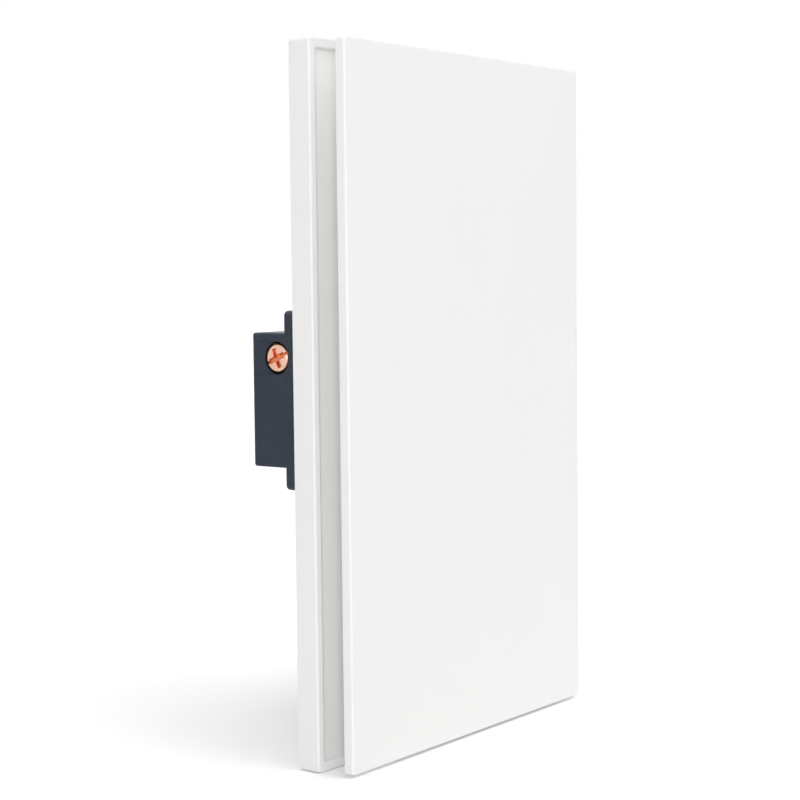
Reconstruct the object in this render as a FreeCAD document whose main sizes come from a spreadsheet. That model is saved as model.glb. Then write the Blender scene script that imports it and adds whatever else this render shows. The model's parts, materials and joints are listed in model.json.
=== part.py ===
import FreeCAD, Part
import os
import re

import Sketcher

# Wall switch with one large floating rocker plate on a vertical axis.
# X runs across the plate, Y runs into the wall, and Z runs up.
# The origin lies at the wall's surface, midway between the two wall screw holes.
# Every length is in millimetres and every angle is in degrees.

# Each row is a size's name, its value and what it measures.
SIZES = [
    ("frame_height", "118", "height of the mounting frame"),
    ("frame_width", "72", "width of the mounting frame"),
    ("frame_depth", "4.3", "how far the frame stands out from the wall"),
    ("frame_corner", "0.8", "radius of the frame's four corners"),
    ("frame_round", "0.3", "round on the frame's front outer edge"),
    ("rim_width", "1.7", "width of the rim round the recess"),
    ("recess_depth", "0.8", "depth of the recess behind the rim"),
    ("recess_corner", "0.5", "radius of the recess's corners"),
    ("floor_thickness", "1.8", "thickness of the recess's floor"),
    ("back_rib_thickness", "1.2", "thickness of the stiffening ribs behind the floor"),
    ("back_rib_place", "25", "distance of the upright ribs from the middle"),
    ("cross_rib_place", "29", "height of the cross ribs from the middle"),
    ("wall_screw_spacing", "83.5", "distance between the two wall screw holes"),
    ("wall_screw_radius", "2.1", "radius of each wall screw hole"),
    ("wall_boss_radius", "4.6", "radius of the boss round each wall screw hole"),
    ("window_play", "0.25", "play between the cover's collar and the frame's window"),
    ("seat_thickness", "1.4", "wall of the collar that the module seats on"),
    ("snap_place", "14", "distance of each snap arm from the middle"),
    ("snap_width", "6", "width of each snap arm"),
    ("snap_thickness", "1.4", "thickness of each snap arm"),
    ("snap_reach", "9.6", "how far each snap arm reaches behind the wall's surface"),
    ("snap_tooth", "0.9", "how far each tooth stands in from its arm"),
    ("snap_tooth_length", "1.4", "length of each tooth along its arm"),
    ("snap_play", "0.15", "play round each snap arm and its tooth"),
    ("panel_reveal", "0.35", "how far the plate's edge lies inside the frame's edge"),
    ("panel_thickness", "1.8", "thickness of the rocker plate"),
    ("panel_corner", "0.8", "radius of the plate's four corners"),
    ("panel_round", "0.35", "round on the plate's front edge"),
    ("panel_gap", "3.2", "gap from the frame's rim to the plate held level"),
    ("panel_rib_height", "0.8", "height of the ribs behind the plate"),
    ("panel_rib_thickness", "1", "thickness of the ribs behind the plate"),
    ("panel_rib_inset", "9", "distance of the outer ribs from the plate's edge"),
    ("hook_place_x", "10.4", "distance of each clip hook from the middle, across"),
    ("hook_place_z", "6.2", "distance of each clip hook from the middle, up"),
    ("hook_width", "3", "width of each clip hook"),
    ("hook_thickness", "1.1", "thickness of each clip hook"),
    ("hook_barb", "0.5", "how far each hook's barb stands out"),
    ("hook_barb_length", "0.9", "length of each hook's barb"),
    ("hook_play", "0.1", "play round each clip hook"),
    ("tilt", "2.5", "angle of the rocker to each side of level"),
    ("pivot_depth", "1.5", "depth of the rocker's axis behind the wall's surface"),
    ("platform_width", "34", "width of the carrier's platform"),
    ("platform_height", "18.4", "height of the carrier's platform"),
    ("platform_thickness", "2", "thickness of the carrier's platform"),
    ("hub_radius", "3.2", "radius of the carrier's hub"),
    ("hub_play", "0.4", "play between the hub's ends and the collar"),
    ("trunnion_radius", "1.5", "radius of the carrier's two trunnions"),
    ("trunnion_play", "0.05", "play round each trunnion"),
    ("trunnion_length", "1.7", "length of each trunnion"),
    ("leg_radius", "3", "outer radius of the carrier's leg"),
    ("leg_end", "10.5", "depth of the leg's open end"),
    ("bore_end", "4.5", "depth of the closed end of the leg's bore"),
    ("collar_width", "28", "outer width of the cover's collar"),
    ("collar_height", "21", "outer height of the cover's collar"),
    ("collar_wall", "1.4", "wall of the cover's collar"),
    ("collar_front", "2", "how far the bearing walls stand out from the wall's surface"),
    ("stop_play", "0.08", "play left between the platform and its stop"),
    ("cover_depth", "3", "depth of the cover's front face"),
    ("cover_thickness", "2", "thickness of the cover's plate"),
    ("cover_slot_width", "9.6", "width of the slot that the hub dips into"),
    ("skirt_length", "2", "length of the cover's locating skirt"),
    ("skirt_thickness", "1.1", "thickness of the skirt and its tongues"),
    ("skirt_play", "0.1", "play between the skirt and the housing"),
    ("tongue_width", "6", "width of each latch tongue"),
    ("tongue_length", "5", "length of each latch tongue"),
    ("tongue_barb", "0.8", "how far each tongue's barb stands out"),
    ("tongue_barb_length", "1.4", "length of each tongue's barb"),
    ("latch_play", "0.15", "play round each barb in its latch window"),
    ("module_width", "45", "width of the module"),
    ("flange_height", "30.8", "height of the housing's wide front"),
    ("flange_back", "14", "depth of the step behind the wide front"),
    ("body_height", "23.2", "height of the housing's rear body"),
    ("body_back", "21.2", "depth of the housing's back face"),
    ("housing_wall", "1.5", "thickness of the housing's side walls"),
    ("housing_floor", "1.8", "thickness of the housing's back wall"),
    ("housing_round", "0.5", "round on the housing's outer edges"),
    ("flange_corner", "0.9", "radius of the four corners of the housing's wide front"),
    ("chamber_wall", "0.8", "thickness of the walls between the chambers"),
    ("chamber_play", "0.1", "play between a chamber's walls and what lies by them"),
    ("terminal_place_x", "16.4", "distance of each wire hole from the middle, across"),
    ("terminal_place_z", "7.25", "distance of each wire hole from the middle, up"),
    ("screw_room", "2.95", "room from each terminal screw's axis to the strips behind it"),
    ("screw_hole_radius", "2.85", "radius of each screw hole in the housing's side"),
    ("channel_depth", "0.6", "depth at the screw hole of the channel that ramps out to the back"),
    ("channel_rim", "0.4", "width left between a channel's shallow end and the back face"),
    ("wire_entry_radius", "1.7", "radius of each wire entry"),
    ("wire_funnel", "0.6", "chamfer at each wire entry's mouth"),
    ("block_size", "5.6", "side of each brass terminal block"),
    ("block_bevel", "0.3", "bevel on each terminal block"),
    ("wire_bore_radius", "1.5", "radius of the wire bore in a terminal block"),
    ("thread_play", "0.05", "play round a terminal screw's shank"),
    ("screw_head_radius", "2.45", "radius of a terminal screw's head"),
    ("screw_head_height", "1.5", "height of a terminal screw's head"),
    ("screw_head_bevel", "0.25", "bevel on a terminal screw's head"),
    ("screw_lift", "1.75", "gap under an open terminal screw's head"),
    ("screw_shank_radius", "1.5", "radius of a terminal screw's shank"),
    ("screw_shank_length", "3.4", "length of a terminal screw's shank"),
    ("screw_slot_width", "0.7", "width of the straight slot in the head"),
    ("screw_slot_depth", "0.7", "depth of the straight slot in the head"),
    ("screw_cross_length", "2.8", "length of the cross recess in the head"),
    ("screw_cross_width", "1", "width of the cross recess in the head"),
    ("screw_cross_depth", "1", "depth of the cross recess in the head"),
    ("strip_thickness", "0.8", "thickness of each brass strip"),
    ("strip_width", "4.7", "width of each brass strip"),
    ("strip_end", "20.4", "distance of each strip's end from the middle"),
    ("strip_hole_radius", "1.7", "radius of the wire hole in each strip"),
    ("blade_room", "2.7", "room from the contact blade's axis to the strips behind it"),
    ("blade_length", "20", "length of the contact blade"),
    ("blade_width", "6", "width of the contact blade"),
    ("blade_thickness", "0.8", "thickness of the contact blade"),
    ("blade_swing", "5", "angle of the blade to each side of level"),
    ("blade_pin_radius", "0.4", "radius of the blade's two pins"),
    ("blade_pin_length", "1", "length of each blade pin"),
    ("notch_play", "0.04", "play between a blade pin and its notch"),
    ("cheek_gap", "0.1", "gap between the blade's edge and a cheek"),
    ("cheek_half_width", "1.6", "half the width of each cheek"),
    ("contact_arm", "8.5", "distance of each contact tip from the blade's axis"),
    ("contact_radius", "1.5", "radius of each moving contact tip"),
    ("contact_height", "0.8", "height of each moving contact tip"),
    ("contact_bevel", "0.4", "bevel on each moving contact tip"),
    ("contact_play", "0.02", "gap left at the closed contact"),
    ("fixed_contact_radius", "1.9", "radius of each fixed contact tip"),
    ("plunger_radius", "2", "radius of the plunger in the leg's bore"),
    ("plunger_play", "0.05", "play round the plunger"),
    ("plunger_guide_length", "3.4", "length of the plunger's guided part"),
    ("plunger_tip_radius", "1.5", "radius of the plunger's blunt tip"),
    ("plunger_tip_length", "2.8", "length of the plunger's tip"),
    ("plunger_tip_gap", "0.1", "gap from the tip to the blade held level"),
    ("spigot_radius", "1.1", "radius of the spigot inside the spring"),
    ("spigot_length", "1.6", "length of the spigot inside the spring"),
    ("spring_wire", "0.36", "diameter of the spring's wire"),
    ("spring_radius", "1.6", "radius of the spring at its wire's middle"),
    ("spring_turns", "4", "number of turns of the spring"),
]

# Places worked out from the sizes, each named for what lies there.
PLACES = {
    "frame_half_width": "frame_width / 2",
    "frame_half_height": "frame_height / 2",
    "frame_front": "0 - frame_depth",
    "floor_front": "recess_depth - frame_depth",
    "floor_back": "floor_front + floor_thickness",
    "recess_half_width": "frame_half_width - rim_width",
    "recess_half_height": "frame_half_height - rim_width",
    "screw_hole_height": "wall_screw_spacing / 2",
    "collar_half_width": "collar_width / 2",
    "collar_half_height": "collar_height / 2",
    "collar_inner_width": "collar_half_width - collar_wall",
    "collar_inner_height": "collar_half_height - collar_wall",
    "window_half_width": "collar_half_width + window_play",
    "window_half_height": "collar_half_height + window_play",
    "seat_half_width": "window_half_width + seat_thickness",
    "seat_half_height": "window_half_height + seat_thickness",
    "module_half_width": "module_width / 2",
    "flange_half_height": "flange_height / 2",
    "snap_inner": "flange_half_height + snap_play",
    "snap_outer": "snap_inner + snap_thickness",
    "tooth_front": "snap_reach - snap_tooth_length",
    "tooth_inner": "snap_inner - snap_tooth",
    "panel_back": "frame_front - panel_gap",
    "panel_front": "panel_back - panel_thickness",
    "panel_half_width": "frame_half_width - panel_reveal",
    "panel_half_height": "frame_half_height - panel_reveal",
    "panel_rib_back": "panel_back + panel_rib_height",
    "rib_half_width": "panel_half_width - panel_rib_inset",
    "rib_half_height": "panel_half_height - panel_rib_inset",
    "platform_back": "panel_back + platform_thickness",
    "barb_front": "platform_back + hook_play",
    "barb_back": "barb_front + hook_barb_length",
    "hub_half_height": "collar_inner_height - hub_play",
    "stop_front": "pivot_depth + collar_half_width * sin(tilt)"
    " - (pivot_depth - platform_back) * cos(tilt) + stop_play",
    "cover_back": "cover_depth + cover_thickness",
    "skirt_back": "cover_back + skirt_length",
    "inner_half_width": "module_half_width - housing_wall",
    "flange_inner_height": "flange_half_height - housing_wall",
    "skirt_half_width": "inner_half_width - skirt_play",
    "skirt_half_height": "flange_inner_height - skirt_play",
    "tongue_back": "cover_back + tongue_length",
    "tongue_barb_back": "tongue_back - latch_play",
    "tongue_barb_front": "tongue_barb_back - tongue_barb_length",
    "body_half_height": "body_height / 2",
    "body_inner_height": "body_half_height - housing_wall",
    "step_front": "flange_back - housing_wall",
    "floor_inside": "body_back - housing_floor",
    "strip_front": "floor_inside - strip_thickness",
    "strip_low": "terminal_place_z - strip_width / 2",
    "strip_high": "terminal_place_z + strip_width / 2",
    "block_half": "block_size / 2",
    "block_front": "strip_front - block_size",
    "block_outer": "terminal_place_x + block_half",
    "terminal_screw_depth": "strip_front - screw_room",
    "head_inner": "block_outer + screw_lift",
    "head_outer": "head_inner + screw_head_height",
    "shank_inner": "head_inner - screw_shank_length",
    "blade_axis_depth": "strip_front - blade_room",
    "blade_half_length": "blade_length / 2",
    "blade_half_width": "blade_width / 2",
    "blade_front": "blade_axis_depth - blade_thickness / 2",
    "blade_back": "blade_axis_depth + blade_thickness / 2",
    "cheek_inner": "blade_half_width + cheek_gap",
    "cheek_outer": "cheek_inner + strip_thickness",
    "contact_face": "blade_axis_depth + contact_arm * sin(blade_swing)"
    " + (blade_thickness / 2 + contact_height) * cos(blade_swing)"
    " + (contact_radius - contact_bevel) * sin(blade_swing) + contact_play",
    "way_strip_inner": "contact_arm - strip_width / 2",
    "way_strip_outer": "contact_arm + strip_width / 2",
    "plunger_tip": "blade_front - plunger_tip_gap",
    "plunger_step": "plunger_tip - plunger_tip_length",
    "plunger_seat": "plunger_step - plunger_guide_length",
    "spigot_end": "plunger_seat - spigot_length",
    "spring_start": "bore_end + spring_wire / 2",
    "spring_stop": "plunger_seat - spring_wire / 2",
}

ALIASES = {row[0] for row in SIZES}
WORD = re.compile(r"[a-z_]+[a-z]")
# For each direction of a profile: its base plane and the sign of the plane's normal.
PLANES = {"X": ("YZ_Plane", 1), "Y": ("XZ_Plane", -1), "Z": ("XY_Plane", 1)}

doc = FreeCAD.newDocument("WallSwitch")


def spelled(text):
    """Write a size or place out in terms of the sheet's cells."""

    def swap(match):
        word = match.group(0)
        if word in PLACES:
            return "(" + spelled(PLACES[word]) + ")"
        return "Sizes." + word if word in ALIASES else word

    return WORD.sub(swap, text)


def make_sheet():
    """Put every size into the sheet under its own name."""
    sheet = doc.addObject("Spreadsheet::Sheet", "Sizes")
    for row, (alias, value, meaning) in enumerate(SIZES, 1):
        sheet.set(f"A{row}", meaning)
        sheet.set(f"B{row}", value)
        sheet.setAlias(f"B{row}", alias)
    doc.recompute()


def value_of(alias):
    """Read one size from the sheet."""
    return float(doc.getObject("Sizes").get(alias))


def new_body(label):
    """Start one separate piece of the switch."""
    body = doc.addObject("PartDesign::Body", label)
    body.Label = label
    return body


def new_sketch(body, direction, at):
    """Lay a sketch square to a direction, at a place along it."""
    role, sign = PLANES[direction]
    plane = next(f for f in body.Origin.OriginFeatures if f.Role == role)
    sketch = body.newObject("Sketcher::SketchObject", "Outline")
    sketch.AttachmentSupport = [(plane, "")]
    sketch.MapMode = "FlatFace"
    offset = spelled(at) if sign > 0 else f"-({spelled(at)})"
    sketch.setExpression("AttachmentOffset.Base.z", offset)
    return sketch


def hold(sketch, kind, geometry, point, text):
    """Tie a point of the sketch to a named place."""
    constraint = Sketcher.Constraint(kind, -1, 1, geometry, point, 1.0)
    index = sketch.addConstraint(constraint)
    sketch.setExpression(f"Constraints[{index}]", spelled(text))


def draw_polygon(sketch, points):
    """Draw a closed outline through points given as pairs of places."""
    count = len(points)
    starts = [FreeCAD.Vector(i, i * i, 0) for i in range(count)]
    lines = [Part.LineSegment(starts[i], starts[(i + 1) % count]) for i in range(count)]
    first = sketch.addGeometry(lines, False)[0]
    for i in range(count):
        following = first + (i + 1) % count
        sketch.addConstraint(Sketcher.Constraint("Coincident", first + i, 2, following, 1))
    for i, (across, along) in enumerate(points):
        hold(sketch, "DistanceX", first + i, 1, across)
        hold(sketch, "DistanceY", first + i, 1, along)


def draw_box(sketch, left, right, low, high):
    """Draw a rectangle between four named places."""
    draw_polygon(sketch, [(left, low), (right, low), (right, high), (left, high)])


def draw_disc(sketch, across, along, radius):
    """Draw a circle about a named place."""
    circle = Part.Circle(FreeCAD.Vector(1, 1, 0), FreeCAD.Vector(0, 0, 1), 1)
    index = sketch.addGeometry(circle, False)
    hold(sketch, "DistanceX", index, 3, across)
    hold(sketch, "DistanceY", index, 3, along)
    radius_index = sketch.addConstraint(Sketcher.Constraint("Radius", index, 1.0))
    sketch.setExpression(f"Constraints[{radius_index}]", spelled(radius))


def draw(sketch, shape):
    """Draw one shape: four places are a box, three a disc, and a list a polygon."""
    if isinstance(shape, list):
        draw_polygon(sketch, shape)
    elif len(shape) == 4:
        draw_box(sketch, *shape)
    else:
        draw_disc(sketch, *shape)


def run_profile(kind, body, direction, low, high, shapes):
    """Run an outline from one place to another, as a pad or a pocket."""
    sketch = new_sketch(body, direction, low)
    for shape in shapes:
        draw(sketch, shape)
    feature = body.newObject(f"PartDesign::{kind}", kind)
    feature.Profile = sketch
    feature.setExpression("Length", spelled(f"{high} - ({low})"))
    outward = PLANES[direction][1] > 0
    feature.Reversed = not outward if kind == "Pad" else outward
    return feature


def pad(body, direction, low, high, *shapes):
    """Add material with the given outline between two places."""
    return run_profile("Pad", body, direction, low, high, shapes)


def pocket(body, direction, low, high, *shapes):
    """Cut the given outline away between two places, and see that it cuts."""
    doc.recompute()
    before = body.Shape.Volume
    feature = run_profile("Pocket", body, direction, low, high, shapes)
    doc.recompute()
    if not body.Shape.Volume < before:
        raise RuntimeError(f"{body.Label}: a pocket cuts nothing")
    return feature


def four(across, along):
    """Give a box of these half sizes about the middle."""
    return (f"0 - ({across})", across, f"0 - ({along})", along)


def box_at(x_middle, x_half, z_middle, z_half):
    """Give a box of these half sizes about a place."""
    return (
        f"{x_middle} - ({x_half})",
        f"{x_middle} + ({x_half})",
        f"{z_middle} - ({z_half})",
        f"{z_middle} + ({z_half})",
    )


def soften(kind, body, base, size, wanted):
    """Round or bevel the edges of a feature that pass a test."""
    doc.recompute()
    edges = base.Shape.Edges
    box = base.Shape.BoundBox
    names = [f"Edge{i}" for i, edge in enumerate(edges, 1) if wanted(edge.BoundBox, box)]
    if not names:
        raise RuntimeError(f"{body.Label}: no edge to soften")
    feature = body.newObject(f"PartDesign::{kind}", kind)
    feature.Base = (base, names)
    feature.setExpression("Radius" if kind == "Fillet" else "Size", spelled(size))
    return feature


def near(one, other):
    """Say whether two coordinates are the same."""
    return abs(one - other) < 1e-4


def outer_corner(edge, box):
    """Say whether an edge runs along Y at an outer corner."""
    across = near(edge.XMin, edge.XMax) and near(abs(edge.XMin - box.Center.x), box.XLength / 2)
    along = near(edge.ZMin, edge.ZMax) and near(abs(edge.ZMin - box.Center.z), box.ZLength / 2)
    return across and along


def front_edge(edge, box):
    """Say whether an edge lies in the front face."""
    return near(edge.YMin, box.YMin) and near(edge.YMax, box.YMin)


def back_edge(edge, box):
    """Say whether an edge lies in the back face."""
    return near(edge.YMin, box.YMax) and near(edge.YMax, box.YMax)


def turn(body, depth, angle):
    """Turn a piece about an upright axis on the middle plane at a depth."""
    body.Placement = FreeCAD.Placement(
        FreeCAD.Vector(0, 0, 0), FreeCAD.Rotation(FreeCAD.Vector(0, 0, 1), 1)
    )
    body.setExpression("Placement.Rotation.Angle", spelled(angle))
    body.setExpression("Placement.Base.x", spelled(f"{depth} * sin({angle})"))
    body.setExpression("Placement.Base.y", spelled(f"{depth} * (1 - cos({angle}))"))


def make_mounting_frame():
    """The tray on the wall: rim, recess, window, screw bosses and snap arms."""
    body = new_body("mounting_frame")
    block = pad(body, "Y", "frame_front", "0", four("frame_half_width", "frame_half_height"))
    corners = soften("Fillet", body, block, "frame_corner", outer_corner)
    soften("Fillet", body, corners, "frame_round", front_edge)
    recess = four("recess_half_width", "recess_half_height")
    recess_cut = pocket(body, "Y", "frame_front", "floor_front", recess)
    pocket(body, "Y", "floor_back", "0", recess)
    soften_recess(body, body.Tip, recess_cut)
    rib_half = "back_rib_thickness / 2"
    for sign in ("0 - ", ""):
        pad(
            body,
            "Y",
            "floor_back",
            "0",
            box_at(f"{sign}back_rib_place", rib_half, "0", "recess_half_height"),
        )
        place = f"{sign}cross_rib_place"
        pad(body, "Y", "floor_back", "0", box_at("0", "recess_half_width", place, rib_half))
        boss = ("0", f"{sign}screw_hole_height", "wall_boss_radius")
        pad(body, "Y", "floor_back", "0", boss)
    pad(body, "Y", "floor_back", "cover_depth", four("seat_half_width", "seat_half_height"))
    for across in ("0 - snap_place", "snap_place"):
        left, right = f"{across} - snap_width / 2", f"{across} + snap_width / 2"
        for low, high, tooth in (
            ("snap_inner", "snap_outer", "tooth_inner"),
            ("0 - snap_outer", "0 - snap_inner", "0 - tooth_inner"),
        ):
            pad(body, "Y", "floor_back", "snap_reach", (left, right, low, high))
            near_face = low if low == "snap_inner" else high
            reach = [("tooth_front", near_face), ("snap_reach", near_face), ("tooth_front", tooth)]
            pad(body, "X", left, right, reach)
    window = four("window_half_width", "window_half_height")
    pocket(body, "Y", "floor_front", "cover_depth", window)
    for sign in ("0 - ", ""):
        hole = ("0", f"{sign}screw_hole_height", "wall_screw_radius")
        pocket(body, "Y", "floor_front", "0", hole)
    return body


def soften_recess(body, base, recess_cut):
    """Round the recess's four corners."""
    inner = recess_cut.Shape.BoundBox
    half_width = value_of("frame_width") / 2 - value_of("rim_width")
    half_height = value_of("frame_height") / 2 - value_of("rim_width")

    def wanted(edge, box):
        across = near(edge.XMin, edge.XMax) and near(abs(edge.XMin), half_width)
        along = near(edge.ZMin, edge.ZMax) and near(abs(edge.ZMin), half_height)
        return across and along and near(edge.YMin, inner.YMin)

    soften("Fillet", body, base, "recess_corner", wanted)


def make_rocker_panel():
    """The plate that is pressed, with ribs and clip hooks behind it."""
    body = new_body("rocker_panel")
    plate = four("panel_half_width", "panel_half_height")
    block = pad(body, "Y", "panel_front", "panel_back", plate)
    corners = soften("Fillet", body, block, "panel_corner", outer_corner)
    soften("Fillet", body, corners, "panel_round", front_edge)
    half = "panel_rib_thickness / 2"
    for sign in ("0 - ", ""):
        across = f"{sign}rib_half_width"
        along = f"{sign}rib_half_height"
        upright = box_at(across, half, "0", "rib_half_height")
        level = box_at("0", "rib_half_width", along, half)
        pad(body, "Y", "panel_back", "panel_rib_back", upright)
        pad(body, "Y", "panel_back", "panel_rib_back", level)
    for x_sign in ("0 - ", ""):
        middle = f"{x_sign}hook_place_x"
        left, right = f"{middle} - hook_width / 2", f"{middle} + hook_width / 2"
        for z_sign, side in (("0 - ", "-"), ("", "+")):
            inner = f"{z_sign}hook_place_z"
            outer = f"{inner} {side} hook_thickness"
            barb = f"{outer} {side} hook_barb"
            post = (left, right, inner, outer) if side == "+" else (left, right, outer, inner)
            pad(body, "Y", "panel_back", "barb_back", post)
            wedge = [("barb_front", outer), ("barb_back", outer), ("barb_front", barb)]
            pad(body, "X", left, right, wedge)
    turn(body, "pivot_depth", "tilt")
    return body


def make_rocker_carrier():
    """The moulding that carries the plate: platform, neck, hub, trunnions and leg."""
    body = new_body("rocker_carrier")
    platform = four("platform_width / 2", "platform_height / 2")
    pad(body, "Y", "panel_back", "platform_back", platform)
    pad(body, "Y", "platform_back", "pivot_depth", four("hub_radius", "hub_half_height"))
    hub = ("0", "pivot_depth", "hub_radius")
    pad(body, "Z", "0 - hub_half_height", "hub_half_height", hub)
    trunnion = ("0", "pivot_depth", "trunnion_radius")
    pad(body, "Z", "hub_half_height", "hub_half_height + trunnion_length", trunnion)
    pad(body, "Z", "0 - hub_half_height - trunnion_length", "0 - hub_half_height", trunnion)
    pad(body, "Y", "pivot_depth", "leg_end", ("0", "0", "leg_radius"))
    pocket(body, "Y", "bore_end", "leg_end", ("0", "0", "plunger_radius + plunger_play"))
    for x_sign in ("0 - ", ""):
        middle = f"{x_sign}hook_place_x"
        half = "hook_width / 2 + hook_play"
        left, right = f"{middle} - ({half})", f"{middle} + {half}"
        for side in ("-", "+"):
            inner = f"0 {side} (hook_place_z - hook_play)"
            outer = f"0 {side} (hook_place_z + hook_thickness + hook_barb + hook_play)"
            low, high = (inner, outer) if side == "+" else (outer, inner)
            pocket(body, "Y", "panel_back", "platform_back", (left, right, low, high))
    turn(body, "pivot_depth", "tilt")
    return body


def make_front_cover():
    """The module's cover: plate, collar with the two bearings, skirt and latch tongues."""
    body = new_body("front_cover")
    plate = four("module_half_width", "flange_half_height")
    pad(body, "Y", "cover_depth", "cover_back", plate)
    collar = four("collar_half_width", "collar_half_height")
    pad(body, "Y", "0 - collar_front", "cover_depth", collar)
    for side in ("-", "+"):
        inner, outer = f"0 {side} collar_inner_width", f"0 {side} collar_half_width"
        left, right = (inner, outer) if side == "+" else (outer, inner)
        stop = (left, right, "0 - collar_half_height", "collar_half_height")
        pad(body, "Y", "stop_front", "0 - collar_front", stop)
    skirt = four("skirt_half_width", "skirt_half_height")
    pad(body, "Y", "cover_back", "skirt_back", skirt)
    for side in ("-", "+"):
        edge = f"0 {side} skirt_half_width"
        inner = f"{edge} {'+' if side == '-' else '-'} skirt_thickness"
        barb = f"{edge} {side} tongue_barb"
        left, right = (inner, edge) if side == "+" else (edge, inner)
        half = "tongue_width / 2"
        pad(body, "Y", "skirt_back", "tongue_back", (left, right, f"0 - {half}", half))
        wedge = [(edge, "tongue_barb_front"), (barb, "tongue_barb_front"), (edge, "tongue_barb_back")]
        pad(body, "Z", f"0 - {half}", half, wedge)
    inner_skirt = four("skirt_half_width - skirt_thickness", "skirt_half_height - skirt_thickness")
    pocket(body, "Y", "cover_back", "skirt_back", inner_skirt)
    bowl = four("collar_inner_width", "collar_inner_height")
    pocket(body, "Y", "0 - collar_front", "cover_depth", bowl)
    slot = four("cover_slot_width / 2", "collar_inner_height")
    pocket(body, "Y", "cover_depth", "cover_back", slot)
    bearing = ("0", "pivot_depth", "trunnion_radius + trunnion_play")
    pocket(body, "Z", "0 - collar_half_height", "collar_half_height", bearing)
    return body


# Each terminal's name and the signs of its place across and up.
TERMINALS = [("common", "-", "+"), ("way_one", "+", "-"), ("way_two", "+", "+")]


def signed(side, text):
    """Give a place on one side of the middle."""
    return f"0 {side} ({text})"


def span(side, low, high):
    """Give two places on one side of the middle, the lower one first."""
    pair = (signed(side, low), signed(side, high))
    return pair if side == "+" else (pair[1], pair[0])


def make_rear_housing():
    """The dark housing: wide front, rear body, chambers, screw holes and wire entries."""
    body = new_body("rear_housing")
    flange = pad(
        body, "Y", "cover_back", "flange_back", four("module_half_width", "flange_half_height")
    )
    soften("Fillet", body, flange, "flange_corner", outer_corner)
    rounded = body.Tip
    soften("Fillet", body, rounded, "housing_round", back_edge)
    middle = four("module_half_width", "body_half_height")
    pad(body, "Y", "step_front", "body_back", middle)

    def rear_edges(edge, box):
        upright = near(edge.YMax, box.YMax) and edge.YLength > 1 and outer_width(edge, box)
        return upright or back_edge(edge, box)

    soften("Fillet", body, body.Tip, "housing_round", rear_edges)
    front_room = four("inner_half_width", "flange_inner_height")
    pocket(body, "Y", "cover_back", "step_front", front_room)
    rear_room = four("inner_half_width", "body_inner_height")
    pocket(body, "Y", "step_front", "floor_inside", rear_room)
    for _, x_side, z_side in TERMINALS:
        wall_inner = "terminal_place_x - block_half - chamber_play - chamber_wall"
        wall_outer = "terminal_place_x - block_half - chamber_play"
        left, right = span(x_side, wall_inner, wall_outer)
        shelf_low = "terminal_place_z - block_half - chamber_play - chamber_wall"
        shelf_high = "terminal_place_z - block_half - chamber_play"
        low, high = span(z_side, shelf_low, "body_inner_height")
        pad(body, "Y", "step_front", "strip_front - chamber_play", (left, right, low, high))
        left, right = span(x_side, wall_inner, "inner_half_width")
        low, high = span(z_side, shelf_low, shelf_high)
        pad(body, "Y", "step_front", "strip_front - chamber_play", (left, right, low, high))
    for _, x_side, z_side in TERMINALS:
        centre = signed(z_side, "terminal_place_z")
        left, right = span(x_side, "inner_half_width", "module_half_width")
        pocket(body, "X", left, right, ("terminal_screw_depth", centre, "screw_hole_radius"))
        low, high = span(
            z_side, "terminal_place_z - screw_hole_radius", "terminal_place_z + screw_hole_radius"
        )
        outside = signed(x_side, "module_half_width")
        ramp = [
            (outside, "terminal_screw_depth"),
            (signed(x_side, "module_half_width - channel_depth"), "terminal_screw_depth"),
            (outside, "body_back - channel_rim"),
        ]
        pocket(body, "Z", low, high, ramp)
        entry = (signed(x_side, "terminal_place_x"), centre, "wire_entry_radius")
        pocket(body, "Y", "floor_inside", "body_back", entry)
    for side in ("-", "+"):
        left, right = span(side, "inner_half_width", "module_half_width")
        latch = [
            ("tongue_barb_front - latch_play", "0 - (tongue_width / 2 + latch_play)"),
            ("tongue_back + latch_play", "0 - (tongue_width / 2 + latch_play)"),
            ("tongue_back + latch_play", "tongue_width / 2 + latch_play"),
            ("tongue_barb_front - latch_play", "tongue_width / 2 + latch_play"),
        ]
        pocket(body, "X", left, right, latch)
        low, high = span(side, "flange_half_height - snap_tooth - snap_play", "flange_half_height")
        for across in ("0 - snap_place", "snap_place"):
            edge_left = f"{across} - snap_width / 2 - snap_play"
            edge_right = f"{across} + snap_width / 2 + snap_play"
            notch = (edge_left, edge_right, low, high)
            pocket(body, "Y", "tooth_front - snap_play", "snap_reach + snap_play", notch)

    def funnel(edge, box):
        return back_edge(edge, box) and near(edge.XLength, 2 * value_of("wire_entry_radius"))

    soften("Chamfer", body, body.Tip, "wire_funnel", funnel)
    return body


def outer_width(edge, box):
    """Say whether an edge lies on the outer left or right face."""
    return near(edge.XMin, edge.XMax) and near(abs(edge.XMin), box.XMax)


def make_plunger():
    """The plunger in the leg: spigot, guided barrel and blunt tip."""
    body = new_body("plunger")
    pad(body, "Y", "spigot_end", "plunger_seat", ("0", "0", "spigot_radius"))
    pad(body, "Y", "plunger_seat", "plunger_step", ("0", "0", "plunger_radius"))
    tip = pad(body, "Y", "plunger_step", "plunger_tip", ("0", "0", "plunger_tip_radius"))
    soften("Chamfer", body, tip, "plunger_tip_radius * 0.6", back_edge)
    turn(body, "pivot_depth", "tilt")
    return body


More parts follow.
